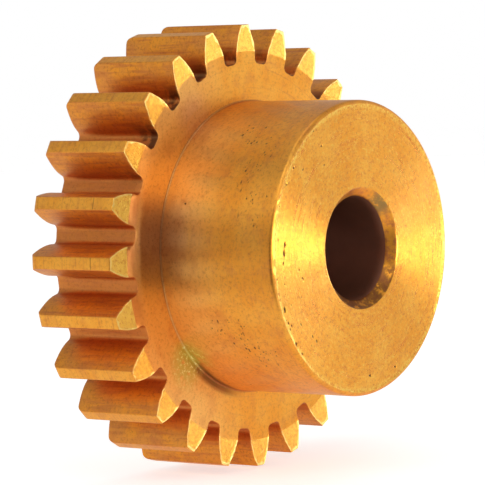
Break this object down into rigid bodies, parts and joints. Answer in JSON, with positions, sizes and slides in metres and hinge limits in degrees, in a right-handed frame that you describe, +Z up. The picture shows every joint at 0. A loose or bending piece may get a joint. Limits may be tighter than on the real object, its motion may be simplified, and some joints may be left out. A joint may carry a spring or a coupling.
{
  "type": "spur gear",
  "caption": "Straight-toothed brass spur gear with a plain cylindrical hub on one side and a through bore for a shaft.",
  "frame": {"origin": "on the bore's axis, halfway through the toothed rim", "axes": "Y is the spin axis, with the hub towards -Y; +Z is up and runs through the middle of one tooth; +X completes the right-handed frame"},
  "size_m": [0.026, 0.014, 0.026],
  "materials": {
    "brass": "turned and hobbed, unpolished"
  },
  "bodies": {
    "root": {"spur_gear": "brass"}
  },
  "joints": []
}
